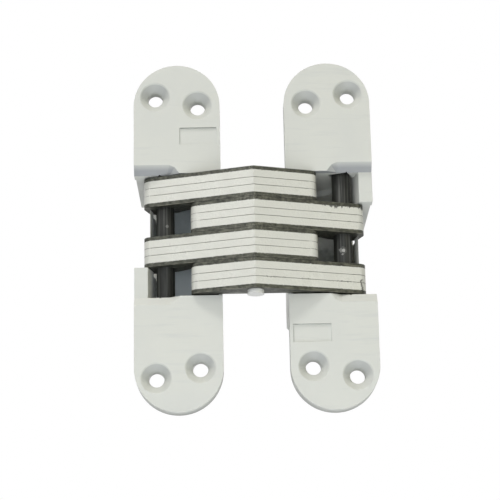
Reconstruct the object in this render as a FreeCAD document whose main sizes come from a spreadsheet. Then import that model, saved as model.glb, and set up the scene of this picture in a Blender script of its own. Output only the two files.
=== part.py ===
"""Concealed hinge: two cast leaves joined by two crossing sets of laminated links.

The hinge lies open at 180 degrees. X runs across the leaves, +Y goes into the mortise and Z runs
along the pins. The origin is the middle of the open hinge's box. In plan the fixed pivot, the
centre pin and the slider of each link set are placed from the plane of the leaf faces.
"""
import FreeCAD, Part
import math
import os
import Sketcher

Vector = FreeCAD.Vector

SIZES = {
    # leaves
    "leaf_width": 28.6,
    "leaf_height": 117.5,
    "leaf_depth": 38.0,
    "leaf_gap": 21.4,
    "flange_thickness": 6.5,
    "case_inset": 0.4,
    "case_chamfer": 1.6,
    "end_wall": 4.6,
    "back_wall": 1.6,
    "inner_wall": 0.9,
    "inner_lip_drop": 1.0,
    "outer_wall": 6.4,
    "notch_depth": 5.1,
    "bevel_height": 3.0,
    "bevel_depth": 2.3,
    "bevel_corner": 2.6,
    # screw holes
    "screw_radius": 2.5,
    "countersink_radius": 5.0,
    "countersink_depth": 2.9,
    "outer_hole_inset": 7.1,
    "outer_hole_height": 47.6,
    "inner_hole_inset": 7.4,
    "inner_hole_height": 44.5,
    # bare sunk panel on each face
    "panel_width": 12.2,
    "panel_height": 5.8,
    "panel_sink": 0.5,
    "panel_inset": 1.2,
    "panel_rise": 33.7,
    # link plates
    "lamination": 2.53,
    "outer_plate": 1.26,
    "stack_gap": 0.1,
    "seam_width": 0.16,
    "seam_depth": 0.4,
    "pocket_clearance": 0.38,
    "link_angle": 18.5,
    "ridge_stand": 8.2,
    "ridge_round": 1.0,
    "long_end_inset": 2.3,
    "long_end_width": 9.2,
    "long_end_length": 9.5,
    "end_round": 3.0,
    "short_end_length": 6.4,
    "short_end_wall": 2.35,
    "hidden_chamfer": 1.5,
    "plate_stop": 5.0,
    "neck_back": 0.4,
    "wall_clearance": 0.35,
    # pins and their places in plan, from the face plane and the middle of the hinge
    "centre_radius": 2.4,
    "centre_behind_ridge": 4.3,
    "head_radius": 2.7,
    "head_height": 1.4,
    "upset_height": 0.5,
    "slider_radius": 3.0,
    "slider_from_end": 7.8,
    "slider_behind_edge": 4.9,
    "pivot_radius": 1.6,
    "pivot_inset": 3.6,
    "pivot_deep": 14.0,
    "pivot_seat": 3.0,
    "groove_depth": 2.2,
    "groove_clearance": 0.35,
    "slider_end_play": 0.2,
    "running_clearance": 0.05,
    "closed_gap": 3.0,
    "swing_clearance": 0.5,
}

doc = FreeCAD.newDocument("concealed_hinge")
sheet = doc.addObject("Spreadsheet::Sheet", "Sizes")
for row, (alias, value) in enumerate(SIZES.items(), start=1):
    sheet.set(f"A{row}", alias)
    sheet.set(f"B{row}", str(value))
    sheet.setAlias(f"B{row}", alias)
doc.recompute()


def size(alias):
    """Read one driving dimension from the sheet."""
    return float(sheet.get(alias))


def turned(point, degrees, about):
    """Turn a plan point about another, counterclockwise seen from above."""
    angle = math.radians(degrees)
    dx = point[0] - about[0]
    dy = point[1] - about[1]
    x = about[0] + dx * math.cos(angle) - dy * math.sin(angle)
    y = about[1] + dx * math.sin(angle) + dy * math.cos(angle)
    return x, y


# Levels along the pins
stack_height = 3 * size("lamination") + 2 * size("outer_plate")
pitch = stack_height + size("stack_gap")
half_stack = 2 * stack_height + 1.5 * size("stack_gap")
pocket_half = half_stack + size("pocket_clearance")
case_half = pocket_half + size("end_wall")
STACK = "(3 * Sizes.lamination + 2 * Sizes.outer_plate)"
POCKET_HALF = f"(2 * {STACK} + 1.5 * Sizes.stack_gap + Sizes.pocket_clearance)"

# Places across the leaf, as distances from the middle of the hinge
inner_edge = size("leaf_gap") / 2
outer_edge = inner_edge + size("leaf_width")
leaf_middle = inner_edge + size("leaf_width") / 2
pocket_inner = inner_edge + size("inner_wall")
pocket_outer = outer_edge - size("outer_wall")
notch_face = outer_edge - size("notch_depth")

# Plan of the links: slope of the roof-shaped front edges, and the pin centres
slope = math.radians(size("link_angle"))
rise = math.tan(slope)
ridge_y = -size("ridge_stand")
centre = (0.0, ridge_y + size("centre_behind_ridge"))
long_reach = outer_edge - size("long_end_inset")
pivot_side = inner_edge + size("pivot_inset")
short_reach = pivot_side + size("short_end_length")
slider_side = long_reach - size("slider_from_end")
pivot = (-pivot_side, size("pivot_deep"))
slider = (-slider_side, ridge_y + slider_side * rise + size("slider_behind_edge"))

# The face plane stands where the box of the whole open hinge is centred on the origin
ridge_tip = ridge_y + size("ridge_round") * (1 / math.cos(slope) - 1)
face_y = -(size("leaf_depth") + ridge_tip) / 2

# Swing of the links from open to closed, where the faces lie closed_gap apart
closed_y = -size("closed_gap") / 2
swing_radius = math.dist(centre, pivot)
closed_x = pivot[0] - math.sqrt(swing_radius**2 - (closed_y - pivot[1]) ** 2)
open_angle = math.atan2(centre[1] - pivot[1], centre[0] - pivot[0])
closed_angle = math.atan2(closed_y - pivot[1], closed_x - pivot[0])
pivot_swing = math.degrees(open_angle - closed_angle)
slider_swing = 180.0 - pivot_swing


def slider_at(share):
    """Plan place of the left slider pin when the hinge is this share of the way to closed."""
    moved = turned(centre, -share * pivot_swing, pivot)
    arm = turned((slider[0] - centre[0], slider[1] - centre[1]), -share * slider_swing, (0.0, 0.0))
    return moved[0] + arm[0], moved[1] + arm[1]


def plan(point):
    """Place a plan point, measured from the face plane, in the hinge's own frame."""
    return Vector(point[0], point[1] + face_y, 0)


def rounded_outline(corners):
    """Closed outline of lines and arcs through corners given as (x, y, radius)."""
    count = len(corners)
    starts = []
    ends = []
    arcs = []
    for index, (x, y, radius) in enumerate(corners):
        here = Vector(x, y, 0)
        before = Vector(*corners[index - 1][:2], 0) - here
        after = Vector(*corners[(index + 1) % count][:2], 0) - here
        before.normalize()
        after.normalize()
        half = before.getAngle(after) / 2
        if radius == 0:
            starts.append(here)
            ends.append(here)
            continue
        reach = radius / math.tan(half)
        bisector = before + after
        bisector.normalize()
        first = here + before * reach
        last = here + after * reach
        middle = here + bisector * (radius / math.sin(half) - radius)
        starts.append(first)
        ends.append(last)
        arcs.append(Part.Arc(first, middle, last))
    lines = []
    for index in range(count):
        here = ends[index]
        there = starts[(index + 1) % count]
        if here.distanceToPoint(there) > 1e-6:
            lines.append(Part.LineSegment(here, there))
    return lines + arcs


def make_sketch(name, geometry, placement=FreeCAD.Placement()):
    """A sketch holding the given outline."""
    sketch = doc.addObject("Sketcher::SketchObject", name)
    sketch.Placement = placement
    sketch.addGeometry(geometry, False)
    return sketch


def add_bore(sketch, point, radius_expression):
    """A round hole in a sketch, its radius bound to the sheet."""
    place = plan(point)
    index = sketch.addGeometry(Part.Circle(place, Vector(0, 0, 1), 1.0), False)
    number = sketch.addConstraint(Sketcher.Constraint("Radius", index, 1.0))
    sketch.setExpression(f"Constraints[{number}]", radius_expression)


def extrude(name, sketch, direction, length_expression, taper=0.0):
    """Solid from a sketch, its length bound to the sheet."""
    solid = doc.addObject("Part::Extrusion", name)
    solid.Base = sketch
    solid.DirMode = "Custom"
    solid.Dir = direction
    solid.Solid = True
    solid.FaceMakerClass = "Part::FaceMakerBullseye"
    solid.setExpression("LengthFwd", length_expression)
    solid.TaperAngle = taper
    return solid


def box(name, low, high):
    """Box between two corners; the leaf's cuts take theirs from the sizes above."""
    solid = doc.addObject("Part::Box", name)
    solid.Length = high[0] - low[0]
    solid.Width = high[1] - low[1]
    solid.Height = high[2] - low[2]
    solid.Placement.Base = Vector(*low)
    return solid


def fuse(name, shapes):
    """Union of several document objects."""
    joined = doc.addObject("Part::MultiFuse", name)
    joined.Shapes = shapes
    return joined


def face_plane(depth=0.0):
    """Sketch plane parallel to the leaf face, with the sketch's Y along the pins."""
    upright = FreeCAD.Rotation(Vector(1, 0, 0), 90)
    return FreeCAD.Placement(Vector(0, face_y + depth, 0), upright)


def level_plane(height):
    """Sketch plane across the pins at the given height."""
    return FreeCAD.Placement(Vector(0, 0, height), FreeCAD.Rotation())


INTO_LEAF = Vector(0, 1, 0)
ALONG_PINS = Vector(0, 0, 1)
SPARE = 1.0


# Links
along_arm = (-math.cos(slope), math.sin(slope))
across_arm = (math.sin(slope), math.cos(slope))
long_tip = (-long_reach, ridge_y + long_reach * rise)
short_tip = (short_reach, ridge_y + short_reach * rise)


def stepped(point, direction, distance):
    """Plan point a distance away along a unit direction."""
    return point[0] + direction[0] * distance, point[1] + direction[1] * distance


def link_corners(foot, foot_round):
    """Corners of a link in plan, long arm to the left and the short end down to foot, as (x, y, radius)."""
    heel = stepped(long_tip, across_arm, size("long_end_width"))
    waist = stepped(heel, along_arm, -size("long_end_length"))
    neck_side = pocket_inner + size("wall_clearance")
    cut = size("hidden_chamfer")
    return [
        (0.0, ridge_y, size("ridge_round")),
        (*long_tip, size("end_round")),
        (*stepped(heel, across_arm, -cut), 0.0),
        (*stepped(heel, along_arm, -cut), 0.0),
        (*waist, 0.0),
        (-neck_side, size("neck_back"), 0.0),
        (neck_side, size("neck_back"), 0.0),
        (neck_side, foot, foot_round),
        (short_reach - cut, foot, 0.0),
        (short_reach, foot - cut, 0.0),
        (*short_tip, size("end_round")),
    ]


def seam_corners():
    """Band along a link's two front edges, between its end rounds, where its seams are cut."""
    depth = size("seam_depth")
    stop = size("end_round")
    sunk_ridge = (0.0, ridge_y + depth / math.cos(slope))
    long_stop = stepped(long_tip, along_arm, -stop)
    short_stop = stepped(short_tip, (along_arm[0], -along_arm[1]), stop)
    short_across = (-across_arm[0], across_arm[1])
    return [
        (0.0, ridge_y - SPARE, 0.0),
        (*stepped(long_stop, across_arm, -SPARE), 0.0),
        (*stepped(long_stop, across_arm, depth), 0.0),
        (*sunk_ridge, 0.0),
        (*stepped(short_stop, short_across, depth), 0.0),
        (*stepped(short_stop, short_across, -SPARE), 0.0),
    ]


def mirrored(corners, side):
    """Plan corners in the hinge's own frame; side is 1 with the long arm left, -1 mirrored."""
    return [(side * x, y + face_y, radius) for x, y, radius in corners]


def plate_sketch(name, side):
    """Outline and bores of an outer plate, which stops short of the fixed pivot."""
    corners = link_corners(size("pivot_deep") - size("plate_stop"), 0.0)
    sketch = make_sketch(name, rounded_outline(mirrored(corners, side)))
    add_bore(sketch, centre, "Sizes.centre_radius + Sizes.running_clearance")
    add_bore(sketch, (slider[0] * side, slider[1]), "Sizes.slider_radius")
    return sketch


def core_sketch(name, side):
    """Outline and bores of the laminations, which reach round the fixed pivot."""
    corners = link_corners(size("pivot_deep") + size("short_end_wall"), size("short_end_wall"))
    sketch = make_sketch(name, rounded_outline(mirrored(corners, side)))
    add_bore(sketch, centre, "Sizes.centre_radius + Sizes.running_clearance")
    add_bore(sketch, (-pivot[0] * side, pivot[1]), "Sizes.pivot_radius + Sizes.running_clearance")
    add_bore(sketch, (slider[0] * side, slider[1]), "Sizes.slider_radius")
    return sketch


def link_stack(number, plate_outline, core_outline, seam_outline):
    """The laminated core of one stack and its two outer plates, counted from the top stack down."""
    top = half_stack - (number - 1) * pitch
    bottom = top - stack_height
    core_bottom = bottom + size("outer_plate")
    upper = extrude(f"link_{number}_top_plate", plate_outline, ALONG_PINS, "Sizes.outer_plate")
    upper.Placement.Base.z = top - size("outer_plate")
    lower = extrude(f"link_{number}_bottom_plate", plate_outline, ALONG_PINS, "Sizes.outer_plate")
    lower.Placement.Base.z = bottom
    blank = extrude(f"Core{number}Blank", core_outline, ALONG_PINS, "3 * Sizes.lamination")
    blank.Placement.Base.z = core_bottom
    seams = []
    for count in (1, 2):
        seam = extrude(f"Core{number}Seam{count}", seam_outline, ALONG_PINS, "Sizes.seam_width")
        seam.Placement.Base.z = core_bottom + count * size("lamination") - size("seam_width") / 2
        seams.append(seam)
    core = doc.addObject("Part::Cut", f"link_{number}_laminations")
    core.Base = blank
    core.Tool = fuse(f"Core{number}Seams", seams)
    return [upper, core, lower]


# Pins
SLIDER_HALF = f"({POCKET_HALF} + Sizes.groove_depth - Sizes.slider_end_play)"
SEAT_HALF = f"({POCKET_HALF} + Sizes.pivot_seat)"


def straight_pin(name, point, radius, half_length):
    """Plain round pin, as long above the middle as below it; sizes are sheet expressions."""
    pin = doc.addObject("Part::Cylinder", name)
    pin.Placement.Base = plan(point)
    pin.setExpression("Radius", f"Sizes.{radius}")
    pin.setExpression("Height", f"2 * {half_length}")
    pin.setExpression("Placement.Base.z", f"-{half_length}")
    return pin


def rivet_head(name, side, height):
    """Head standing on the end of the stacks; side is 1 above, -1 below."""
    head = doc.addObject("Part::Cylinder", name)
    head.setExpression("Radius", "Sizes.head_radius")
    head.setExpression("Height", f"Sizes.{height}")
    outward = FreeCAD.Rotation(Vector(1, 0, 0), 0 if side > 0 else 180)
    head.Placement = FreeCAD.Placement(plan(centre) + ALONG_PINS * (side * half_stack), outward)
    return head


def centre_pin():
    """Rivet through all four stacks, with a button head below and a low upset head above."""
    half_length = f"({POCKET_HALF} - Sizes.pocket_clearance)"
    shank = straight_pin("CentreShank", centre, "centre_radius", half_length)
    upper = rivet_head("UpperHead", 1, "upset_height")
    lower = rivet_head("LowerHead", -1, "head_height")
    return fuse("centre_pin", [shank, upper, lower])


# Leaf casting
def face_flange():
    """Round-ended face plate, its ends full half circles."""
    radius = size("leaf_width") / 2
    straight = size("leaf_height") / 2 - radius
    top_left = Vector(-outer_edge, straight, 0)
    top_right = Vector(-inner_edge, straight, 0)
    low_left = Vector(-outer_edge, -straight, 0)
    low_right = Vector(-inner_edge, -straight, 0)
    outline = [
        Part.LineSegment(low_left, top_left),
        Part.Arc(top_left, Vector(-leaf_middle, straight + radius, 0), top_right),
        Part.LineSegment(top_right, low_right),
        Part.Arc(low_right, Vector(-leaf_middle, -straight - radius, 0), low_left),
    ]
    sketch = make_sketch("FlangeOutline", outline, face_plane())
    return extrude("Flange", sketch, INTO_LEAF, "Sizes.flange_thickness")


def link_case():
    """Deep box behind the flange that takes the links."""
    left = -outer_edge + size("case_inset")
    right = -inner_edge - size("case_inset")
    cut = size("case_chamfer")
    corners = [
        (left + cut, -case_half, 0.0),
        (right - cut, -case_half, 0.0),
        (right, -case_half + cut, 0.0),
        (right, case_half - cut, 0.0),
        (right - cut, case_half, 0.0),
        (left + cut, case_half, 0.0),
        (left, case_half - cut, 0.0),
        (left, -case_half + cut, 0.0),
    ]
    sketch = make_sketch("CaseOutline", rounded_outline(corners), face_plane())
    return extrude("Case", sketch, INTO_LEAF, "Sizes.leaf_depth")


def land_corners():
    """Slanted clearance on the outer wall, parallel to the short arm's edge when closed."""
    reach = size("centre_behind_ridge") + size("swing_clearance")
    ridge_angle = math.radians(-90.0 - pivot_swing)
    start = (closed_x + reach * math.cos(ridge_angle), closed_y + reach * math.sin(ridge_angle))
    edge_angle = math.pi - slope - math.radians(pivot_swing)
    lean = math.cos(edge_angle) / math.sin(edge_angle)
    front = -SPARE
    foot = start[1] + (-pocket_outer - start[0]) / lean
    inside = -pocket_outer + SPARE
    return [
        (start[0] + lean * (front - start[1]), front + face_y, 0.0),
        (-pocket_outer, foot + face_y, 0.0),
        (inside, foot + face_y, 0.0),
        (inside, front + face_y, 0.0),
    ]


def pocket_cuts():
    """Room for the links: the pocket, its lip, slanted land, outer notch and bevelled ends."""
    front = face_y - SPARE
    back = face_y + size("leaf_depth")
    floor = back - size("back_wall")
    outside = -outer_edge - SPARE
    level = size("pocket_clearance")
    pocket = box("Pocket", (-pocket_outer, front, -pocket_half), (-pocket_inner, floor, pocket_half))
    lip = face_y + size("inner_lip_drop")
    mouth_low = (-pocket_inner - SPARE, front, -pocket_half)
    mouth = box("Mouth", mouth_low, (-inner_edge + SPARE, lip, pocket_half))
    land_sketch = make_sketch("LandOutline", rounded_outline(land_corners()), level_plane(-pocket_half))
    land = extrude("Land", land_sketch, ALONG_PINS, f"2 * {POCKET_HALF}")
    notch_low = half_stack - 3 * pitch + size("stack_gap") - level
    notch = box("Notch", (outside, front, notch_low), (-notch_face, back + SPARE, pocket_half))
    cuts = [pocket, mouth, land, notch]
    arm_floor = face_y + slider_at(1.0)[1]
    for number in (1, 3):
        top = half_stack - (number - 1) * pitch + level
        low = top - stack_height - 2 * level
        window_high = (-pocket_outer + SPARE, arm_floor, top)
        cuts.append(box(f"ArmWindow{number}", (outside, front, low), window_high))
    height = size("bevel_height")
    corner = size("bevel_corner")
    far = outside - height
    upper = [
        (far, pocket_half + height),
        (-leaf_middle - corner, pocket_half + height),
        (-leaf_middle - 0.3 * corner, pocket_half + 0.7 * height),
        (-leaf_middle + 0.3 * corner, pocket_half),
    ]
    outline = [(x, z, 0.0) for x, z in upper] + [(x, -z, 0.0) for x, z in reversed(upper)]
    bevel_sketch = make_sketch("BevelOutline", rounded_outline(outline), face_plane())
    lean = -math.degrees(math.atan2(height, size("bevel_depth")))
    cuts.append(extrude("Bevel", bevel_sketch, INTO_LEAF, "Sizes.bevel_depth", lean))
    return cuts


def guide_groove():
    """Curved grooves in both end walls that the slider pin's ends run in."""
    first = Vector(*slider_at(0.0), 0)
    middle = Vector(*slider_at(0.5), 0)
    last = Vector(*slider_at(1.0), 0)
    hub = Part.Arc(first, middle, last).toShape().Curve.Center
    half = size("slider_radius") + size("groove_clearance")

    def beside(point, offset):
        """Point on the same ray from the arc's centre, nearer or farther by offset."""
        ray = point - hub
        ray.normalize()
        return plan(point + ray * offset)

    def past(point, offset, forward):
        """The same, moved half a groove along the path, where the groove ends square."""
        ray = point - hub
        ray.normalize()
        return beside(point, offset) + Vector(ray.y, -ray.x, 0) * (forward * half)

    far_side = [beside(first, half), beside(middle, half), beside(last, half)]
    near_side = [beside(last, -half), beside(middle, -half), beside(first, -half)]
    last_end = [far_side[2], past(last, half, 1), past(last, -half, 1), near_side[0]]
    first_end = [near_side[2], past(first, -half, -1), past(first, half, -1), far_side[0]]
    outline = [Part.Arc(*far_side), Part.Arc(*near_side)]
    for end in (last_end, first_end):
        outline += [Part.LineSegment(here, there) for here, there in zip(end, end[1:])]
    reach = pocket_half + size("groove_depth")
    sketch = make_sketch("GrooveOutline", outline, level_plane(-reach))
    return extrude("Groove", sketch, ALONG_PINS, f"2 * ({POCKET_HALF} + Sizes.groove_depth)")


def screw_hole(name, x, z):
    """Countersunk through hole in the flange."""
    toward_back = FreeCAD.Rotation(Vector(1, 0, 0), -90)
    shank = doc.addObject("Part::Cylinder", f"{name}Bore")
    shank.setExpression("Radius", "Sizes.screw_radius")
    shank.setExpression("Height", "Sizes.flange_thickness * 3")
    shank.Placement = FreeCAD.Placement(Vector(x, face_y - SPARE, z), toward_back)
    cone = doc.addObject("Part::Cone", f"{name}Countersink")
    cone.setExpression("Radius1", "Sizes.countersink_radius")
    cone.setExpression("Radius2", "Sizes.screw_radius")
    cone.setExpression("Height", "Sizes.countersink_depth")
    cone.Placement = FreeCAD.Placement(Vector(x, face_y, z), toward_back)
    return [shank, cone]


def leaf_casting():
    """One leaf, as it stands on the left."""
    solid = fuse("LeafBlank", [face_flange(), link_case()])
    cuts = pocket_cuts()
    cuts.append(guide_groove())
    cuts.append(straight_pin("PivotBore", pivot, "pivot_radius", SEAT_HALF))
    outer_x = -outer_edge + size("outer_hole_inset")
    inner_x = -inner_edge - size("inner_hole_inset")
    for side, word in ((1, "Upper"), (-1, "Lower")):
        cuts += screw_hole(f"{word}Outer", outer_x, side * size("outer_hole_height"))
        cuts += screw_hole(f"{word}Inner", inner_x, side * size("inner_hole_height"))
    panel_right = -inner_edge - size("panel_inset")
    panel_left = panel_right - size("panel_width")
    panel_half = size("panel_height") / 2
    panel_low = (panel_left, face_y - SPARE, size("panel_rise") - panel_half)
    panel_high = (panel_right, face_y + size("panel_sink"), size("panel_rise") + panel_half)
    cuts.append(box("Panel", panel_low, panel_high))
    leaf = doc.addObject("Part::Cut", "leaf_left")
    leaf.Base = solid
    leaf.Tool = fuse("LeafCuts", cuts)
    return leaf


outlines = []
for word, side in (("A", 1), ("B", -1)):
    plate_outline = plate_sketch(f"PlateOutline{word}", side)
    core_outline = core_sketch(f"CoreOutline{word}", side)
    seam_outline = make_sketch(f"SeamOutline{word}", rounded_outline(mirrored(seam_corners(), side)))
    outlines.append((plate_outline, core_outline, seam_outline))
pieces = []
for number in (1, 2, 3, 4):
    pieces += link_stack(number, *outlines[(number - 1) % 2])
pieces.append(centre_pin())
pieces.append(straight_pin("slider_pin_left", slider, "slider_radius", SLIDER_HALF))
pieces.append(straight_pin("slider_pin_right", (-slider[0], slider[1]), "slider_radius", SLIDER_HALF))
pieces.append(straight_pin("pivot_pin_left", pivot, "pivot_radius", SEAT_HALF))
pieces.append(straight_pin("pivot_pin_right", (-pivot[0], pivot[1]), "pivot_radius", SEAT_HALF))
pieces.append(leaf_casting())
doc.recompute()

# The second leaf is the same casting, turned half a turn about the face normal
second_leaf = doc.addObject("Part::Feature", "leaf_right")
second_leaf.Shape = doc.getObject("leaf_left").Shape.copy()
second_leaf.Placement = FreeCAD.Placement(Vector(), FreeCAD.Rotation(INTO_LEAF, 180))
pieces.append(second_leaf)
doc.recompute()

for item in doc.Objects:
    if "Invalid" in item.State or "Error" in item.State:
        raise RuntimeError(f"{item.Label} failed: {item.State}")
for piece in pieces:
    if piece.Shape.isNull() or not piece.Shape.isValid():
        raise RuntimeError(f"{piece.Label} has no valid shape")

os.makedirs("parts", exist_ok=True)
for piece in pieces:
    piece.Shape.exportStep(f"parts/{piece.Label}.step")
    print(piece.Label, len(piece.Shape.Solids), round(piece.Shape.Volume, 1))
print("pivot swing", pivot_swing, "face plane", face_y, "closed centre", closed_x, closed_y)
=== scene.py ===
"""Looks of an open concealed hinge: enamelled leaves, laminated links and dark steel pins.

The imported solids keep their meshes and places. Each one gets softly broken edges and a procedural
finish, and the hinge stands in a plain studio above a pale floor.
"""

import logging
import math
from dataclasses import dataclass
from enum import Enum
from functools import reduce

import bpy
from mathutils import Matrix, Vector


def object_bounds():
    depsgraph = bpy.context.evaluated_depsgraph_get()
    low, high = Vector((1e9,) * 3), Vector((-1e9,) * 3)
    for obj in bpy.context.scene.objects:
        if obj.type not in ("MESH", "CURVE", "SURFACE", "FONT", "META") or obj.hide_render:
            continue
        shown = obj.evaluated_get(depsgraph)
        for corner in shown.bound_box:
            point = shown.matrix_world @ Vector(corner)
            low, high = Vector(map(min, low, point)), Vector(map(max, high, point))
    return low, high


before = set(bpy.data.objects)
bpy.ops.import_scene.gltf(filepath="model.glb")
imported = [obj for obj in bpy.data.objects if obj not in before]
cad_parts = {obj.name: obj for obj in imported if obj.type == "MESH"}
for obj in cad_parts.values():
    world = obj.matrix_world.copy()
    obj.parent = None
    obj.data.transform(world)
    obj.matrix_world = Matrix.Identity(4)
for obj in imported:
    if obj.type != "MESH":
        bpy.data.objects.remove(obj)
CAD_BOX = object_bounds()

log = logging.getLogger("hinge")

MM = 0.001
RGB = tuple[float, float, float]
XYZ = tuple[float, float, float]
Span = tuple[float, float]
Socket = bpy.types.NodeSocket

WHITE: RGB = (1.0, 1.0, 1.0)
EVEN: XYZ = (1.0, 1.0, 1.0)
UNIT: Span = (0.0, 1.0)
MIX_BELOW = 6
MIX_ABOVE = 7
MIX_RESULT = 2
STACK_NUMBERS = (1, 2, 3, 4)
PIN_KINDS = ("slider", "pivot")


def times(colour: RGB, share: float) -> RGB:
    """Scale a colour.

    Args:
        colour: The colour.
        share: Factor for all three channels.

    Returns:
        The scaled colour.
    """
    red, green, blue = colour
    return share * red, share * green, share * blue


class Side(Enum):
    """Which leaf a piece belongs to, as the names of the pieces say it."""

    LEFT = "left"
    RIGHT = "right"


class Plate(Enum):
    """Which of a stack's two outer plates is meant."""

    TOP = "top"
    BOTTOM = "bottom"


@dataclass(frozen=True)
class Grain:
    """Noise in the hinge's frame.

    Attributes:
        scale: Cells per metre.
        detail: Octaves of finer noise.
        fade: Values of the noise that become 0 and 1 in a mask.
        stretch: Scale of the coordinates along each axis.
    """

    scale: float
    detail: float
    fade: Span = UNIT
    stretch: XYZ = EVEN


@dataclass(frozen=True)
class Relief:
    """Fine relief of a surface.

    Attributes:
        height: Height of the full range in metres.
        strength: Share of the effect.
    """

    height: float
    strength: float


@dataclass(frozen=True)
class StackMeasure:
    """Heights inside a link stack, in millimetres, by which a finish finds its seams and edges."""

    lamination: float = 2.53
    plate: float = 1.26
    gap: float = 0.1

    @property
    def pitch(self) -> float:
        """Height from one stack to the next."""
        return 3 * self.lamination + 2 * self.plate + self.gap

    @property
    def half(self) -> float:
        """Half the height of all four stacks."""
        return 2 * self.pitch - self.gap / 2

    @property
    def seams(self) -> Span:
        """Depths of the two seams below the top of a stack."""
        return self.plate + self.lamination, self.plate + 2 * self.lamination

    @property
    def core_edges(self) -> Span:
        """Depths of the core's upper and lower edge below the top of a stack."""
        return self.plate, self.plate + 3 * self.lamination


@dataclass(frozen=True)
class LeafMeasure:
    """Places on the leaves, in metres.

    Heights and sides count from the middle of the hinge, depths from the faces of the leaves. A
    span holds where a value starts and where it ends, for a mask 0 and 1. The span for the corners
    of the painted pocket shade holds products of side and height, in square metres.
    """

    face_y: float = -14.927 * MM
    sides: Span = (-5.0 * MM, 5.0 * MM)
    leftward: Span = (5.0 * MM, -5.0 * MM)
    pocket_inner: Span = (11.5 * MM, 11.6 * MM)
    pocket_outer: Span = (32.3 * MM, 32.0 * MM)
    pocket_height: Span = (20.85 * MM, 20.75 * MM)
    pocket_depth: Span = (4.0 * MM, 11.0 * MM)
    bevel_low: Span = (20.65 * MM, 20.75 * MM)
    bevel_high: Span = (24.25 * MM, 22.15 * MM)
    bevel_depth: Span = (2.6 * MM, 2.3 * MM)
    hole_height: Span = (33.0 * MM, 34.0 * MM)
    hole_depth: Span = (0.3 * MM, 0.5 * MM)
    panel_inner: Span = (11.4 * MM, 11.5 * MM)
    panel_outer: Span = (24.7 * MM, 24.5 * MM)
    panel_low: Span = (30.2 * MM, 30.4 * MM)
    panel_high: Span = (37.2 * MM, 37.0 * MM)
    panel_depth: Span = (0.65 * MM, 0.55 * MM)
    rim_height: Span = (28.0 * MM, 30.0 * MM)
    rim_depth: Span = (0.5 * MM, 6.0 * MM)
    lip: Span = (11.6 * MM, 11.5 * MM)
    lip_front: Span = (0.6 * MM, 2.5 * MM)
    lip_back: Span = (22.0 * MM, 12.0 * MM)
    shade_middle: float = 4.0 * MM
    shade_corner: Span = (-0.2e-4, 0.8e-4)


@dataclass(frozen=True)
class LinkMeasure:
    """Places of the wear on the links, in metres from the middle, and depths in millimetres.

    A span holds where a mask is 0 and where it is 1.
    """

    second_low: Span = (-0.1 * MM, 0.1 * MM)
    second_high: Span = (10.3 * MM, 10.1 * MM)
    worn_end: Span = (21.0 * MM, 25.5 * MM)
    bite_depth: float = 1.7
    bite_edge: Span = (0.0, 0.12)
    upper_rim: Span = (0.3, 0.0)
    lower_rim: Span = (0.22, 0.0)
    seam_width: Span = (0.13, 0.05)
    crack_side: float = 32.5 * MM
    crack_sway: float = 4.2 * MM
    crack_width: Span = (0.34 * MM, 0.16 * MM)
    crack_height: Span = (-15.4 * MM, -15.7 * MM)
    crack_end: Span = (30.0 * MM, 31.0 * MM)
    pit_reach: Span = (0.45, 0.05)
    pit_height: Span = (-10.0 * MM, -10.5 * MM)
    pit_end: Span = (22.0 * MM, 26.0 * MM)
    pit_start: Span = (2.0 * MM, 4.0 * MM)
    ridge: Span = (11.0 * MM, 1.0 * MM)
    upper_seat: Span = (0.22, 0.04)
    lower_seat: Span = (0.26, 0.04)
    lower_edge: Span = (0.3, 0.08)


@dataclass(frozen=True)
class LookMeasure:
    """Shares of a face's normal along an axis at which a mask is 0 and 1.

    The span to_middle holds such shares times the place along X, in metres.
    """

    down: Span = (-0.2, -0.45)
    barely_down: Span = (-0.05, -0.3)
    not_up: Span = (0.25, -0.45)
    rightward: Span = (0.05, 0.3)
    not_flat: Span = (-0.93, -0.86)
    still_ahead: Span = (-0.3, -0.45)
    step: Span = (-0.97, -0.8)
    not_backward: Span = (0.5, 0.2)
    upright: Span = (0.6, 0.3)
    forward: Span = (0.0, -0.3)
    backward: Span = (-0.02, 0.25)
    link_end: Span = (0.27, 0.36)
    to_middle: Span = (-4.0 * MM, -8.0 * MM)


STACK = StackMeasure()
LEAF = LeafMeasure()
LINK = LinkMeasure()
LOOK = LookMeasure()


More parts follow.
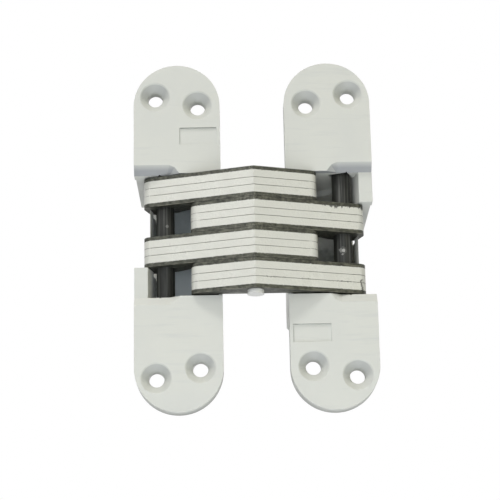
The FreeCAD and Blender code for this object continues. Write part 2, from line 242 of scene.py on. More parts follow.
class Net:
    """Short-hand for wiring a node tree by its output sockets."""

    def __init__(self, tree: bpy.types.NodeTree) -> None:
        """Start from an empty tree.

        Args:
            tree: The tree to build in.
        """
        self.tree = tree
        self.tree.nodes.clear()

    def add(self, kind: str, **settings: object) -> bpy.types.Node:
        """Add a node and set its properties.

        Args:
            kind: Blender's node type.
            settings: Node properties by name.

        Returns:
            The new node.
        """
        node = self.tree.nodes.new(kind)
        for name, value in settings.items():
            setattr(node, name, value)
        return node

    def feed(self, value: Socket | float | RGB, target: Socket) -> None:
        """Join an output to an input, or set the input to a constant.

        Args:
            value: Output socket, number or colour.
            target: The input.
        """
        if isinstance(value, Socket):
            self.tree.links.new(value, target)
        elif isinstance(value, tuple):
            target.default_value = (*value, 1.0)
        else:
            target.default_value = value

    def math(self, operation: str, *values: Socket | float) -> Socket:
        """Combine values.

        Args:
            operation: Blender's math operation.
            values: As many values as the operation takes.

        Returns:
            The result.
        """
        node = self.add("ShaderNodeMath", operation=operation)
        for value, target in zip(values, node.inputs):
            self.feed(value, target)
        return node.outputs[0]

    def scaled(self, value: Socket, share: float) -> Socket:
        """Multiply a value by a number.

        Args:
            value: The value.
            share: The number.

        Returns:
            The product.
        """
        return self.math("MULTIPLY", value, share)

    def both(self, *masks: Socket) -> Socket:
        """The product of masks.

        Args:
            masks: Two masks or more.

        Returns:
            The mask of what lies in all of them.
        """
        return reduce(lambda first, second: self.math("MULTIPLY", first, second), masks)

    def either(self, *masks: Socket) -> Socket:
        """The largest of masks.

        Args:
            masks: Two masks or more.

        Returns:
            The mask of what lies in any of them.
        """
        return reduce(lambda first, second: self.math("MAXIMUM", first, second), masks)

    def remap(self, value: Socket, start: Span, end: Span) -> Socket:
        """Map a value from one span to another, clamped.

        Args:
            value: The value.
            start: The span that it comes from.
            end: The span that it goes to.

        Returns:
            The mapped value.
        """
        node = self.add("ShaderNodeMapRange")
        limits = zip(("From Min", "From Max", "To Min", "To Max"), (*start, *end))
        for name, limit in limits:
            node.inputs[name].default_value = limit
        self.feed(value, node.inputs["Value"])
        return node.outputs[0]

    def ramp(self, value: Socket, fade: Span) -> Socket:
        """Turn a value into a mask.

        Args:
            value: The value.
            fade: Values that become 0 and 1.

        Returns:
            The mask.
        """
        return self.remap(value, fade, UNIT)

    def mix(self, share: Socket, below: Socket | RGB, above: Socket | RGB) -> Socket:
        """Blend two colours.

        Args:
            share: Share of the second colour.
            below: Colour at share 0.
            above: Colour at share 1.

        Returns:
            The blended colour.
        """
        node = self.add("ShaderNodeMix", data_type="RGBA")
        self.feed(share, node.inputs[0])
        self.feed(below, node.inputs[MIX_BELOW])
        self.feed(above, node.inputs[MIX_ABOVE])
        return node.outputs[MIX_RESULT]

    def seen(self) -> Socket:
        """Tell the rays that make the picture from those that only carry light.

        Returns:
            1 for rays from the camera, from gloss and through glass, and 0 for lighting.
        """
        rays = self.add("ShaderNodeLightPath").outputs
        kinds = ("Is Camera Ray", "Is Glossy Ray", "Is Transmission Ray")
        return self.either(*(rays[kind] for kind in kinds))


class SurfaceNet(Net):
    """Tree of a material with one principled shader."""

    def __init__(self, material: bpy.types.Material) -> None:
        """Add the shader, its output and the coordinates.

        Args:
            material: The material whose tree is built.
        """
        material.use_nodes = True
        super().__init__(material.node_tree)
        shader = self.add("ShaderNodeBsdfPrincipled")
        output = self.add("ShaderNodeOutputMaterial")
        self.feed(shader.outputs["BSDF"], output.inputs["Surface"])
        self.surface = shader.inputs
        self.place = self.add("ShaderNodeTexCoord").outputs

    def noise(self, grain: Grain) -> Socket:
        """Noise in the hinge's frame.

        Args:
            grain: The kind of noise.

        Returns:
            Its value.
        """
        spread = self.add("ShaderNodeMapping")
        spread.inputs["Scale"].default_value = grain.stretch
        self.feed(self.place["Object"], spread.inputs["Vector"])
        node = self.add("ShaderNodeTexNoise")
        node.inputs["Scale"].default_value = grain.scale
        node.inputs["Detail"].default_value = grain.detail
        self.feed(spread.outputs["Vector"], node.inputs["Vector"])
        return node.outputs[0]

    def mask(self, grain: Grain) -> Socket:
        """Noise cut to a mask.

        Args:
            grain: The kind of noise, with its limits.

        Returns:
            The mask.
        """
        return self.ramp(self.noise(grain), grain.fade)

    def bump(self, height: Socket, relief: Relief) -> None:
        """Give the surface fine relief.

        Args:
            height: Height, 0 to 1.
            relief: How high and how strong it is.
        """
        node = self.add("ShaderNodeBump")
        node.inputs["Distance"].default_value = relief.height
        node.inputs["Strength"].default_value = relief.strength
        self.feed(height, node.inputs["Height"])
        self.feed(node.outputs["Normal"], self.surface["Normal"])


class HingeNet(SurfaceNet):
    """Tree that knows where on the hinge a point lies and which way its face looks."""

    wander: Grain = Grain(1800.0, 2.0)
    wander_back: float = 0.4
    spot_core: float = 0.8

    def __init__(self, material: bpy.types.Material) -> None:
        """Add the nodes that give the place, the look and the depth in a link stack.

        Args:
            material: The material whose tree is built.
        """
        super().__init__(material)
        self.x, self.y, self.z = self.split("Object")
        self.look_x, self.look_y, self.look_z = self.split("Normal")
        self.aside = self.math("ABSOLUTE", self.x)
        self.tall = self.math("ABSOLUTE", self.z)
        self.sunk = self.math("SUBTRACT", self.y, LEAF.face_y)
        drop = self.scaled(self.z, -1.0 / (MM * STACK.pitch))
        stacks_down = self.math("ADD", drop, STACK.half / STACK.pitch)
        self.depth = self.scaled(self.math("FRACT", stacks_down), STACK.pitch)

    def split(self, name: str) -> tuple[Socket, Socket, Socket]:
        """Take a coordinate apart.

        Args:
            name: Which of Blender's coordinates.

        Returns:
            Its values along X, Y and Z.
        """
        node = self.add("ShaderNodeSeparateXYZ")
        self.feed(self.place[name], node.inputs[0])
        return node.outputs["X"], node.outputs["Y"], node.outputs["Z"]

    def near_depth(self, depth: float, fade: Span) -> Socket:
        """Mask of a level in the link stacks.

        Args:
            depth: Depth below the top of a stack, in millimetres.
            fade: Distances from it at which the mask is 0 and 1.

        Returns:
            The mask.
        """
        return self.ramp(self.math("ABSOLUTE", self.math("SUBTRACT", self.depth, depth)), fade)

    def spot(self, centre: XYZ, radius: float, ragged: float) -> Socket:
        """Mask of a ragged round spot.

        Args:
            centre: Its place in metres.
            radius: Its radius in metres.
            ragged: Share of the radius that its edge wanders.

        Returns:
            The mask.
        """
        away = self.add("ShaderNodeVectorMath", operation="DISTANCE")
        self.feed(self.place["Object"], away.inputs[0])
        away.inputs[1].default_value = centre
        wander = self.scaled(self.noise(self.wander), radius * ragged)
        reach = self.math("SUBTRACT", away.outputs["Value"], wander)
        back = self.wander_back * ragged
        return self.ramp(reach, (radius * (1.0 - back), radius * (self.spot_core - back)))


@dataclass(frozen=True)
class Enamel:
    """Baked pale enamel with fine streaks and a faint orange peel, with painted shade and painted
    cool light.
    """

    name: str
    colour: RGB
    shade: RGB
    # Colour of the painted shade in the pockets, behind the inner lips, on the panel steps and
    # flange rims.
    shade_colour: RGB
    # Colour of the painted shade on the bevels and countersinks that look down.
    down_shade: RGB
    roughness: float = 0.38
    gloss_spread: Span = (-0.06, 0.14)
    # Tint of the painted cool light in the left pockets.
    cool_light: RGB = (1.0, 1.08, 1.2)
    cloud: Grain = Grain(55.0, 6.0, (0.38, 0.72))
    cloud_share: float = 0.6
    streak: Grain = Grain(900.0, 4.0, (0.5, 0.8), (0.09, 1.0, 1.0))
    streak_share: float = 0.8
    streak_height: float = 0.5
    speck: Grain = Grain(1600.0, 2.0, (0.74, 0.8))
    speck_share: float = 0.35
    speck_tone: float = 0.72
    peel: Grain = Grain(1100.0, 3.0)
    relief: Relief = Relief(0.05 * MM, 0.55)
    bevel_share: float = 0.78
    cone_share: float = 0.36
    panel_shadow_share: float = 0.6
    rim_shade_share: float = 0.6
    lip_share: float = 0.6
    shade_patches: Grain = Grain(240.0, 5.0, (0.15, 0.5))
    shade_by_corner: Span = (0.5, 0.0)
    shade_by_side: Span = (0.5, 1.35)

    def down_shade_mask(self, net: HingeNet) -> Socket:
        """Mask of painted shade on the countersinks and on the bevels that look down.

        Args:
            net: The tree to build in.

        Returns:
            The mask.
        """
        bevel = net.both(
            net.ramp(net.z, LEAF.bevel_low),
            net.ramp(net.z, LEAF.bevel_high),
            net.ramp(net.look_z, LOOK.down),
            net.ramp(net.sunk, LEAF.bevel_depth),
        )
        cone = net.both(
            net.ramp(net.look_y, LOOK.not_flat),
            net.ramp(net.look_y, LOOK.still_ahead),
            net.ramp(net.look_z, LOOK.not_up),
            net.ramp(net.tall, LEAF.hole_height),
            net.ramp(net.sunk, LEAF.hole_depth),
        )
        return net.either(net.scaled(bevel, self.bevel_share), net.scaled(cone, self.cone_share))

    def pocket_mask(self, net: HingeNet) -> Socket:
        """Mask of the inside of the link pockets.

        Args:
            net: The tree to build in.

        Returns:
            The mask.
        """
        return net.both(
            net.ramp(net.sunk, LEAF.pocket_depth),
            net.ramp(net.aside, LEAF.pocket_inner),
            net.ramp(net.aside, LEAF.pocket_outer),
            net.ramp(net.tall, LEAF.pocket_height),
            net.ramp(net.look_y, LOOK.not_backward),
        )

    def panel_shadow_mask(self, net: HingeNet) -> Socket:
        """Mask of painted shadow on the upper and left steps of the two sunk panels.

        Args:
            net: The tree to build in.

        Returns:
            The mask.
        """
        steps = net.both(
            net.ramp(net.aside, LEAF.panel_inner),
            net.ramp(net.aside, LEAF.panel_outer),
            net.ramp(net.tall, LEAF.panel_low),
            net.ramp(net.tall, LEAF.panel_high),
            net.ramp(net.sunk, LEAF.panel_depth),
            net.ramp(net.look_y, LOOK.step),
        )
        shaded = net.either(
            net.ramp(net.look_z, LOOK.barely_down),
            net.ramp(net.look_x, LOOK.rightward),
        )
        return net.scaled(net.both(steps, shaded), self.panel_shadow_share)

    def rim_shade_mask(self, net: HingeNet) -> Socket:
        """Mask of painted shade on the flange edges, growing towards their back.

        Args:
            net: The tree to build in.

        Returns:
            The mask.
        """
        rim = net.both(
            net.ramp(net.tall, LEAF.rim_height),
            net.ramp(net.math("ABSOLUTE", net.look_y), LOOK.upright),
            net.ramp(net.sunk, LEAF.rim_depth),
        )
        return net.scaled(rim, self.rim_shade_share)

    def pocket_shade_mask(self, net: HingeNet) -> Socket:
        """Mask of painted shade, in patches, inside the pockets and behind their inner lips.

        It is weaker on the left, and in the two corners that stay open.

        Args:
            net: The tree to build in.

        Returns:
            The mask.
        """
        raised = net.math("SUBTRACT", net.z, LEAF.shade_middle)
        corner = net.math("MULTIPLY", net.x, raised)
        inside = net.both(
            self.pocket_mask(net),
            net.remap(corner, LEAF.shade_corner, self.shade_by_corner),
            net.remap(net.x, LEAF.sides, self.shade_by_side),
            net.mask(self.shade_patches),
        )
        lip = net.both(
            net.ramp(net.math("MULTIPLY", net.look_x, net.x), LOOK.to_middle),
            net.ramp(net.aside, LEAF.lip),
            net.ramp(net.sunk, LEAF.lip_front),
            net.ramp(net.sunk, LEAF.lip_back),
        )
        return net.either(inside, net.scaled(lip, self.lip_share))

    def tone(self, net: HingeNet, uneven: Socket) -> Socket:
        """Colour of the coat.

        Args:
            net: The tree to build in.
            uneven: Share of the shaded colour.

        Returns:
            The colour.
        """
        tone = net.mix(uneven, self.colour, self.shade)
        specks = net.scaled(net.mask(self.speck), self.speck_share)
        tone = net.mix(specks, tone, times(self.shade, self.speck_tone))
        # Painted shade: the bevels and countersink slopes that look down are darkened.
        tone = net.mix(self.down_shade_mask(net), tone, self.down_shade)
        # Painted cool light: the left pockets are tinted bluer and lighter.
        cool_light = tuple(min(1.0, share * channel) for share, channel in zip(self.cool_light, self.colour))
        left_pocket = net.both(self.pocket_mask(net), net.ramp(net.x, LEAF.leftward))
        tone = net.mix(left_pocket, tone, cool_light)
        # Painted shade in the pockets, behind the inner lips, on the panel steps and on the flange
        # rims.
        shade_share = net.either(self.pocket_shade_mask(net), self.panel_shadow_mask(net), self.rim_shade_mask(net))
        return net.mix(shade_share, tone, self.shade_colour)

    def make(self) -> bpy.types.Material:
        """Build the material.

        Returns:
            The finished material.
        """
        material = bpy.data.materials.new(self.name)
        net = HingeNet(material)
        cloud = net.mask(self.cloud)
        streak = net.mask(self.streak)
        uneven = net.either(
            net.scaled(streak, self.streak_share),
            net.scaled(cloud, self.cloud_share),
        )
        net.feed(self.tone(net, uneven), net.surface["Base Color"])
        smooth, dull = self.gloss_spread
        gloss = net.remap(cloud, UNIT, (self.roughness + smooth, self.roughness + dull))
        net.feed(gloss, net.surface["Roughness"])
        height = net.math("ADD", net.noise(self.peel), net.scaled(streak, self.streak_height))
        net.bump(height, self.relief)
        return material


@dataclass(frozen=True)
class EdgeEnamel:
    """Enamel on the front edges of the links, thin at the seams and chipped along the edges."""

    name: str
    colour: RGB
    shade: RGB
    steel: RGB
    seam: RGB
    flaw: RGB
    cloud: Grain = Grain(140.0, 5.0, (0.35, 0.7))
    cloud_share: float = 0.7
    stipple: Grain = Grain(1900.0, 3.0, (0.4, 0.68))
    stipple_share: float = 0.9
    filling: Grain = Grain(260.0, 5.0, (0.25, 0.55), (1.0, 1.0, 0.2))
    bite: Grain = Grain(1250.0, 3.0, (0.44, 0.72), (1.0, 0.3, 0.05))
    crumb: Grain = Grain(2200.0, 4.0, (0.5, 0.57))
    crumb_patch: Grain = Grain(160.0, 2.0, (0.5, 0.6))
    crumb_share: float = 0.6
    chip_tone: float = 0.45
    jag: Grain = Grain(620.0, 3.0, stretch=(0.05, 0.05, 1.0))
    pit: Grain = Grain(1500.0, 2.0, (0.56, 0.62))
    pit_patch: Grain = Grain(90.0, 1.0, (0.5, 0.56))
    brushing: Grain = Grain(60.0, 6.0, (0.3, 0.7), (6.0, 6.0, 60.0))
    brushing_tone: float = 0.6
    metal: float = 0.9
    roughness: Span = (0.26, 0.4)
    skin: Grain = Grain(1500.0, 3.0)
    flaw_depth: float = 0.9
    relief: Relief = Relief(0.11 * MM, 0.75)

    def chips(self, net: HingeNet) -> Socket:
        """Mask of the bites out of the second core's upper edge and of crumbs along all edges.

        Args:
            net: The tree to build in.

        Returns:
            The mask.
        """
        upper, lower = STACK.core_edges
        bites = net.both(
            net.mask(self.bite),
            net.ramp(net.x, LINK.worn_end),
            net.ramp(net.z, LINK.second_low),
            net.ramp(net.z, LINK.second_high),
        )
        reach = net.scaled(bites, LINK.bite_depth)
        below_edge = net.math("SUBTRACT", net.depth, upper)
        teeth = net.ramp(net.math("SUBTRACT", reach, below_edge), LINK.bite_edge)
        rims = net.either(
            net.near_depth(upper, LINK.upper_rim),
            net.near_depth(lower, LINK.lower_rim),
        )
        crumbs = net.both(rims, net.mask(self.crumb), net.mask(self.crumb_patch))
        return net.either(teeth, net.scaled(crumbs, self.crumb_share))

    def crack(self, net: HingeNet) -> Socket:
        """Mask of the jagged crack near the right end of the lowest stack.

        Args:
            net: The tree to build in.

        Returns:
            The mask.
        """
        sway = net.scaled(net.noise(self.jag), LINK.crack_sway)
        straight = net.math("SUBTRACT", net.x, sway)
        away = net.math("ABSOLUTE", net.math("SUBTRACT", straight, LINK.crack_side))
        return net.both(
            net.ramp(away, LINK.crack_width),
            net.ramp(net.z, LINK.crack_height),
            net.ramp(net.x, LINK.crack_end),
        )

    def pits(self, net: HingeNet) -> Socket:
        """Mask of the small pits along the lower seam of the lowest stack.

        Args:
            net: The tree to build in.

        Returns:
            The mask.
        """
        _, lower_seam = STACK.seams
        patches = net.either(net.ramp(net.x, LINK.pit_end), net.mask(self.pit_patch))
        return net.both(
            net.near_depth(lower_seam, LINK.pit_reach),
            net.mask(self.pit),
            net.ramp(net.z, LINK.pit_height),
            net.ramp(net.x, LINK.pit_start),
            patches,
        )

    def make(self) -> bpy.types.Material:
        """Build the material, with bare steel on the backs of the links.

        Returns:
            The finished material.
        """
        material = bpy.data.materials.new(self.name)
        net = HingeNet(material)
        cloud = net.mask(self.cloud)
        uneven = net.either(
            net.scaled(cloud, self.cloud_share),
            net.scaled(net.mask(self.stipple), self.stipple_share),
        )
        paint = net.mix(uneven, self.colour, self.shade)
        lines = net.either(*(net.near_depth(depth, LINK.seam_width) for depth in STACK.seams))
        seams = net.both(lines, net.mask(self.filling))
        ends = net.ramp(net.math("ABSOLUTE", net.look_x), LOOK.link_end)
        coat = net.mix(seams, paint, net.mix(ends, self.seam, self.flaw))
        flaws = net.either(self.pits(net), self.crack(net))
        coat = net.mix(flaws, coat, self.flaw)
        chips = self.chips(net)
        coat = net.mix(chips, coat, times(self.steel, self.chip_tone))
        brushed = times(self.steel, self.brushing_tone)
        steel = net.mix(net.mask(self.brushing), brushed, self.steel)
        back = net.ramp(net.look_y, LOOK.backward)
        net.feed(net.mix(back, coat, steel), net.surface["Base Color"])
        net.feed(net.scaled(back, self.metal), net.surface["Metallic"])
        net.feed(net.remap(cloud, UNIT, self.roughness), net.surface["Roughness"])
        hollows = net.scaled(net.either(seams, flaws, chips), self.flaw_depth)
        net.bump(net.math("SUBTRACT", net.noise(self.skin), hollows), self.relief)
        return material


@dataclass(frozen=True)
class PlateSteel:
    """Blackened outer plates: fine scuffs along the arms, flecks of stray paint by the core,
    painted glints near the ridge and a painted highlight along the lower front edge.
    """

    name: str
    colour: RGB
    scuff: RGB
    paint: RGB
    mottle: Grain = Grain(900.0, 8.0, (0.35, 0.75))
    mottle_share: float = 0.6
    scratch: Grain = Grain(1500.0, 5.0, (0.5, 0.72), (0.12, 0.35, 1.0))
    scratch_share: float = 0.85
    glint: Grain = Grain(3200.0, 3.0, (0.53, 0.66), (0.6, 1.0, 1.0))
    glint_share: float = 0.45
    glint_tone: float = 1.9
    fleck: Grain = Grain(2600.0, 4.0, (0.57, 0.66))
    edge_highlight: Grain = Grain(700.0, 4.0, (0.45, 0.6), (0.3, 1.0, 1.0))
    edge_highlight_share: float = 0.4
    metal: float = 0.45
    roughness: Span = (0.52, 0.36)
    skin: Grain = Grain(1200.0, 6.0)
    relief: Relief = Relief(0.08 * MM, 0.7)

    def make(self) -> bpy.types.Material:
        """Build the material.

        Returns:
            The finished material.
        """
        material = bpy.data.materials.new(self.name)
        net = HingeNet(material)
        upper, lower = STACK.core_edges
        bright = times(self.scuff, self.glint_tone)
        front = net.ramp(net.look_y, LOOK.forward)
        rubbed = net.either(
            net.scaled(net.mask(self.mottle), self.mottle_share),
            net.scaled(net.mask(self.scratch), self.scratch_share),
        )
        tone = net.mix(rubbed, self.colour, self.scuff)
        glints = net.both(net.ramp(net.aside, LINK.ridge), net.mask(self.glint))
        tone = net.mix(net.scaled(glints, self.glint_share), tone, bright)
        seats = net.either(
            net.near_depth(upper, LINK.upper_seat),
            net.near_depth(lower, LINK.lower_seat),
        )
        tone = net.mix(net.both(seats, net.mask(self.fleck), front), tone, self.paint)
        # Painted highlight: a lighter, patchy line along the lower front edge of each bottom plate.
        low_edge = net.near_depth(lower + STACK.plate, LINK.lower_edge)
        sheen = net.both(low_edge, net.mask(self.edge_highlight), front)
        tone = net.mix(net.scaled(sheen, self.edge_highlight_share), tone, bright)
        net.feed(tone, net.surface["Base Color"])
        net.feed(self.metal, net.surface["Metallic"])
        net.feed(net.remap(rubbed, UNIT, self.roughness), net.surface["Roughness"])
        net.bump(net.noise(self.skin), self.relief)
        return material


@dataclass(frozen=True)
class Drop:
    """A drop of stray paint.

    Attributes:
        centre: Its place in metres.
        radius: Its radius in metres.
        share: How much of the steel it covers.
    """

    centre: XYZ
    radius: float
    share: float


@dataclass(frozen=True)
class PinSteel:
    """Dark steel pins with painted highlights as pale upright streaks and soft smears, and a few
    drops of paint.
    """

    name: str
    colour: RGB
    streak: RGB
    paint: RGB
    drops: tuple[Drop, ...]
    ragged: float = 0.9
    highlight_streak: Grain = Grain(1300.0, 3.0, (0.46, 0.66), (1.0, 1.0, 0.02))
    highlight_streak_share: float = 0.8
    sheen_smear: Grain = Grain(300.0, 4.0, (0.45, 0.8), (1.0, 1.0, 0.3))
    sheen_smear_share: float = 0.4
    metal: float = 0.3
    roughness: Span = (0.6, 0.42)
    skin: Grain = Grain(900.0, 4.0, stretch=(1.0, 1.0, 0.05))
    relief: Relief = Relief(0.04 * MM, 0.6)

    def make(self) -> bpy.types.Material:
        """Build the material.

        Returns:
            The finished material.
        """
        material = bpy.data.materials.new(self.name)
        net = HingeNet(material)
        # Painted highlight: pale upright streaks and soft smears lighten the dark steel and make it
        # glossier.
        sheen = net.either(
            net.scaled(net.mask(self.highlight_streak), self.highlight_streak_share),
            net.scaled(net.mask(self.sheen_smear), self.sheen_smear_share),
        )
        tone = net.mix(sheen, self.colour, self.streak)
        for drop in self.drops:
            cover = net.scaled(net.spot(drop.centre, drop.radius, self.ragged), drop.share)
            tone = net.mix(cover, tone, self.paint)
        net.feed(tone, net.surface["Base Color"])
        net.feed(self.metal, net.surface["Metallic"])
        net.feed(net.remap(sheen, UNIT, self.roughness), net.surface["Roughness"])
        net.bump(net.noise(self.skin), self.relief)
        return material


@dataclass(frozen=True)
class Plain:
    """Matt stage surface that looks paler than it is lit, and still shows the object's shadow."""

    name: str
    colour: RGB
    glow: float
    roughness: float = 0.9

    def make(self) -> bpy.types.Material:
        """Build the material.

        Returns:
            The finished material.
        """
        material = bpy.data.materials.new(self.name)
        net = SurfaceNet(material)
        net.feed(self.colour, net.surface["Base Color"])
        net.feed(self.roughness, net.surface["Roughness"])
        net.feed(WHITE, net.surface["Emission Color"])
        net.feed(net.scaled(net.seen(), self.glow), net.surface["Emission Strength"])
        return material


@dataclass(frozen=True)
class SoftEdge:
    """Small bevel that breaks a solid's sharp edges and leaves its mesh as it is.

    Attributes:
        width: Bevel width in metres.
        segments: Steps across the bevel.
        joined: Whether flat facets are joined first, so that slivers between them don't hold the
            bevel's width back.
        sharp: Angle from which an edge is bevelled.
        flat: Angle up to which facets count as flat and are joined.
        weld: Distance at which points are joined before the bevel.
        seal: Distance at which points are joined after it, where facets were joined.
    """

    width: float
    segments: int = 2
    joined: bool = False
    sharp: float = math.radians(35.0)
    flat: float = math.radians(0.5)
    weld: float = 0.001 * MM
    seal: float = 0.005 * MM

    def apply(self, node: bpy.types.Object) -> None:
        """Put the modifiers on an object.

        Args:
            node: The object to soften.
        """
        node.modifiers.new("Weld", "WELD").merge_threshold = self.weld
        if self.joined:
            facets = node.modifiers.new("Join flat facets", "DECIMATE")
            facets.decimate_type = "DISSOLVE"
            facets.angle_limit = self.flat
        bevel = node.modifiers.new("Soft edges", "BEVEL")
        bevel.width = self.width
        bevel.segments = self.segments
        bevel.limit_method = "ANGLE"
        bevel.angle_limit = self.sharp
        bevel.harden_normals = True
        bevel.use_clamp_overlap = not self.joined
        if self.joined:
            node.modifiers.new("Seal", "WELD").merge_threshold = self.seal


def dress(node: bpy.types.Object, material: bpy.types.Material) -> None:
    """Give an object one material in place of those it has.

    Args:
        node: The object.
        material: Its new material.
    """
    node.data.materials.clear()
    node.data.materials.append(material)


@dataclass
class Leaves:
    """The two castings that are let into the door and the frame."""

    paint: bpy.types.Material
    edge: SoftEdge = SoftEdge(0.1 * MM, joined=True)

    def build(self) -> None:
        """Soften and paint both castings."""
        for side in Side:
            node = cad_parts[f"leaf_{side.value}"]
            self.edge.apply(node)
            dress(node, self.paint)
            log.info("painted the %s leaf", side.value)


@dataclass
class LinkStacks:
    """Four stacks of laminations between dark outer plates."""

    paint: bpy.types.Material
    plate: bpy.types.Material
    edge: SoftEdge = SoftEdge(0.12 * MM)

    def build(self) -> None:
        """Soften and finish every core and plate."""
        for number in STACK_NUMBERS:
            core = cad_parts[f"link_{number}_laminations"]
            self.edge.apply(core)
            dress(core, self.paint)
            for end in Plate:
                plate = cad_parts[f"link_{number}_{end.value}_plate"]
                self.edge.apply(plate)
                dress(plate, self.plate)
            log.info("finished stack %d", number)


@dataclass
class Pins:
    """Sliders, fixed pivots and the centre rivet."""

    steel: bpy.types.Material
    rivet: bpy.types.Material
    edge: SoftEdge = SoftEdge(0.2 * MM)
    rivet_edge: SoftEdge = SoftEdge(0.95 * MM, segments=5)

    def build(self) -> None:
        """Soften and finish the pins."""
        for side in Side:
            for kind in PIN_KINDS:
                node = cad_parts[f"{kind}_pin_{side.value}"]
                self.edge.apply(node)
                dress(node, self.steel)
        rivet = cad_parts["centre_pin"]
        self.rivet_edge.apply(rivet)
        dress(rivet, self.rivet)
        log.info("finished the pins")


@dataclass(frozen=True)
class Lamp:
    """Square soft light aimed at the middle of the hinge.

    Attributes:
        name: Object name.
        spot: Place in metres.
        size: Edge length in metres.
        power: Watts.
        tint: Colour of the light.
        mirrored: Whether glossy surfaces reflect it.
    """

    name: str
    spot: XYZ
    size: float
    power: float
    tint: RGB
    mirrored: bool = True

    def hang(self) -> None:
        """Add the lamp to the scene."""
        data = bpy.data.lights.new(self.name, "AREA")
        data.shape = "SQUARE"
        data.size = self.size
        data.energy = self.power
        data.color = self.tint
        item = bpy.data.objects.new(self.name, data)
        item.location = self.spot
        item.rotation_euler = (-Vector(self.spot)).to_track_quat("-Z", "Y").to_euler()
        item.visible_camera = False
        item.visible_glossy = self.mirrored
        bpy.context.scene.collection.objects.link(item)


LAMPS = (
    Lamp("key", (-0.5, -0.7, 0.42), 0.4, 1.6, (1.0, 0.985, 0.965)),
    Lamp("top", (-0.16, -0.4, 0.8), 0.16, 3.6, (1.0, 0.98, 0.95)),
    Lamp("front", (-0.01, -0.62, -0.17), 0.2, 1.08, (0.9, 0.94, 1.0)),
    Lamp("below", (0.02, -0.26, -0.37), 0.4, 0.6, (0.93, 0.965, 1.0)),
    Lamp("warm", (0.75, -0.55, 0.15), 0.4, 0.75, (1.0, 0.92, 0.42)),
    Lamp("back", (0.3, 0.75, 0.45), 0.5, 5.5, (1.0, 0.99, 0.97), mirrored=False),
)


@dataclass
class Studio:
    """Floor, lights and the camera of the picture."""

    camera_from_face: XYZ = (-8.36 * MM, -499.05 * MM, -143.59 * MM)
    pitch: float = math.radians(15.424)
    yaw: float = math.radians(0.784)
    roll: float = math.radians(-1.2)
    focal_share: float = 1592.0 / 500.0
    sensor: float = 36.0
    clip: Span = (0.01, 20.0)
    floor_finish: Plain = Plain("floor_pale", (0.8, 0.81, 0.83), 0.42)
    floor_half: float = 4.0
    floor_drop: float = 0.45
    sky_light: float = 0.19
    sky_seen: float = 1.0
    lamps: tuple[Lamp, ...] = LAMPS

    def camera(self) -> None:
        """Stand the camera a little below the hinge, looking up at it."""
        data = bpy.data.cameras.new("camera")
        data.sensor_width = self.sensor
        data.sensor_height = self.sensor
        data.sensor_fit = "HORIZONTAL"
        data.lens = self.sensor * self.focal_share
        data.clip_start, data.clip_end = self.clip
        item = bpy.data.objects.new("camera", data)
        bpy.context.scene.collection.objects.link(item)
        level = Vector((math.sin(self.yaw), math.cos(self.yaw), 0.0))
        ahead = math.cos(self.pitch) * level + math.sin(self.pitch) * Vector((0.0, 0.0, 1.0))
        right = Vector((math.cos(self.yaw), -math.sin(self.yaw), 0.0))
        up = right.cross(ahead)
        across = math.cos(self.roll) * right + math.sin(self.roll) * up
        above = -math.sin(self.roll) * right + math.cos(self.roll) * up
        turn = Matrix((across, above, -ahead)).transposed()
        spot = Vector(self.camera_from_face) + Vector((0.0, LEAF.face_y, 0.0))
        item.matrix_world = Matrix.Translation(spot) @ turn.to_4x4()
        bpy.context.scene.camera = item

    def floor(self) -> None:
        """Lay a pale floor well below the hinge."""
        half = self.floor_half
        low = CAD_BOX[0][2] - self.floor_drop
        mesh = bpy.data.meshes.new("floor")
        corners = [(-half, -half, low), (half, -half, low), (half, half, low), (-half, half, low)]
        mesh.from_pydata(corners, [], [(0, 1, 2, 3)])
        item = bpy.data.objects.new("floor", mesh)
        bpy.context.scene.collection.objects.link(item)
        dress(item, self.floor_finish.make())

    def world(self) -> None:
        """Put even pale surroundings in place, which the camera and reflections see as white."""
        world = bpy.data.worlds.new("studio")
        world.use_nodes = True
        net = Net(world.node_tree)
        sky = net.add("ShaderNodeBackground")
        output = net.add("ShaderNodeOutputWorld")
        net.feed(WHITE, sky.inputs["Color"])
        strength = net.remap(net.seen(), UNIT, (self.sky_light, self.sky_seen))
        net.feed(strength, sky.inputs["Strength"])
        net.feed(sky.outputs[0], output.inputs["Surface"])
        bpy.context.scene.world = world

    def build(self) -> None:
        """Set up the whole studio."""
        self.camera()
        self.world()
        self.floor()
        for lamp in self.lamps:
            lamp.hang()
        bpy.context.scene.view_settings.view_transform = "Standard"


PALE: RGB = (0.70, 0.70, 0.66)

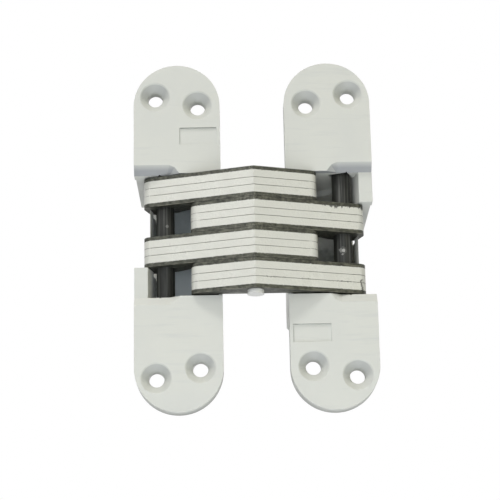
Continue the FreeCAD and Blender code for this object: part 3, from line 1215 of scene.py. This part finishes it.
# The leaf enamel's two dark colours after the base colours are painted shade: in the pockets, on
# the panel steps and flange rims, and on the bevels and countersinks that look down.
LEAF_FINISH = Enamel(
    name="leaf_enamel",
    colour=(0.67, 0.68, 0.63),
    shade=(0.60, 0.615, 0.585),
    shade_colour=(0.085, 0.1, 0.08),
    down_shade=(0.25, 0.263, 0.287),
)
EDGE_FINISH = EdgeEnamel(
    name="link_edge_enamel",
    colour=(0.69, 0.692, 0.63),
    shade=(0.635, 0.637, 0.58),
    steel=(0.2, 0.2, 0.19),
    seam=(0.64, 0.64, 0.585),
    flaw=(0.165, 0.165, 0.15),
)
PLATE_FINISH = PlateSteel(
    name="plate_steel",
    colour=(0.023, 0.025, 0.019),
    scuff=(0.148, 0.149, 0.117),
    paint=PALE,
)
# The pale streak colour of the pins paints their highlights.
PIN_FINISH = PinSteel(
    name="pin_steel",
    colour=(0.011, 0.012, 0.01),
    streak=(0.085, 0.088, 0.08),
    paint=PALE,
    drops=(
        Drop((28.95 * MM, -11.43 * MM, -5.5 * MM), 1.25 * MM, 0.07),
        Drop((28.2 * MM, -11.4 * MM, -5.45 * MM), 0.65 * MM, 0.16),
        Drop((29.15 * MM, -11.43 * MM, -5.6 * MM), 0.55 * MM, 0.42),
        Drop((28.75 * MM, -11.4 * MM, -6.95 * MM), 0.34 * MM, 0.25),
        Drop((-28.48 * MM, -11.43 * MM, 3.64 * MM), 0.55 * MM, 0.16),
    ),
)
# The rivet's enamel is paler than the leaves', which paints extra light from below on the rivet.
RIVET_FINISH = Enamel(
    name="rivet_enamel",
    colour=(0.80, 0.80, 0.77),
    shade=(0.74, 0.74, 0.71),
    shade_colour=(0.3, 0.3, 0.28),
    down_shade=(0.6, 0.6, 0.6),
    roughness=0.3,
)


def main() -> None:
    """Dress the hinge and stand it in its studio."""
    logging.basicConfig(level=logging.INFO, format="%(name)s: %(message)s")
    Leaves(LEAF_FINISH.make()).build()
    LinkStacks(EDGE_FINISH.make(), PLATE_FINISH.make()).build()
    Pins(PIN_FINISH.make(), RIVET_FINISH.make()).build()
    Studio().build()


if __name__ == "__main__":
    main()
